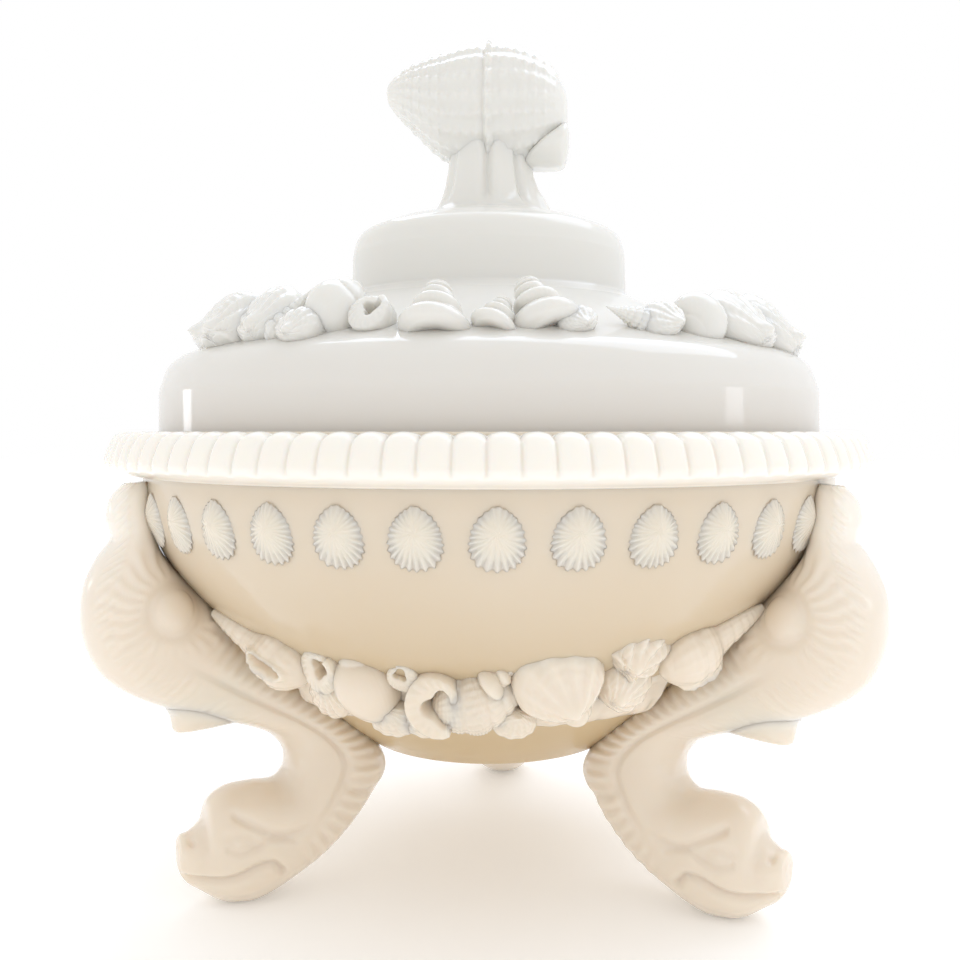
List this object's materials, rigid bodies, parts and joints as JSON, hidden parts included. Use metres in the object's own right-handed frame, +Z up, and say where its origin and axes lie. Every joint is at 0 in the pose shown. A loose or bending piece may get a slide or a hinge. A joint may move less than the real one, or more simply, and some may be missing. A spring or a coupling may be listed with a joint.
{
  "type": "footed covered dish",
  "caption": "Round pressed milk-glass serving dish on dolphin feet, with a beaded rim and a domed lift-off lid that has a spiral-shell knob.",
  "frame": {"origin": "on the table, under the middle of the bowl and between the three feet", "axes": "+Z up through the bowl, the lid and the stem of the knob; -Y towards the front; +X to the right, where the lip of the knob's shell is"},
  "size_m": [0.1608, 0.1654, 0.1789],
  "materials": {
    "ivory_milk_glass": "fire-polished pressed milk glass, warm ivory white, opaque",
    "white_milk_glass": "fire-polished pressed milk glass, cool white, opaque"
  },
  "bodies": {
    "dish": {"bowl": "ivory_milk_glass", "rim_beads": "ivory_milk_glass", "sea_urchins": "ivory_milk_glass", "shells_front": "ivory_milk_glass", "shells_left": "ivory_milk_glass", "shells_right": "ivory_milk_glass", "dolphin_back": "ivory_milk_glass", "dolphin_left": "ivory_milk_glass", "dolphin_right": "ivory_milk_glass"},
    "lid": {"lid": "white_milk_glass", "lid_shells": "white_milk_glass", "knob_stem": "white_milk_glass", "knob_shell": "white_milk_glass"}
  },
  "joints": [
    {"name": "lid_lift", "type": "slide", "parent": "dish", "child": "lid", "axis": [0, 0, 1], "range_m": [0, 0.12]}
  ]
}
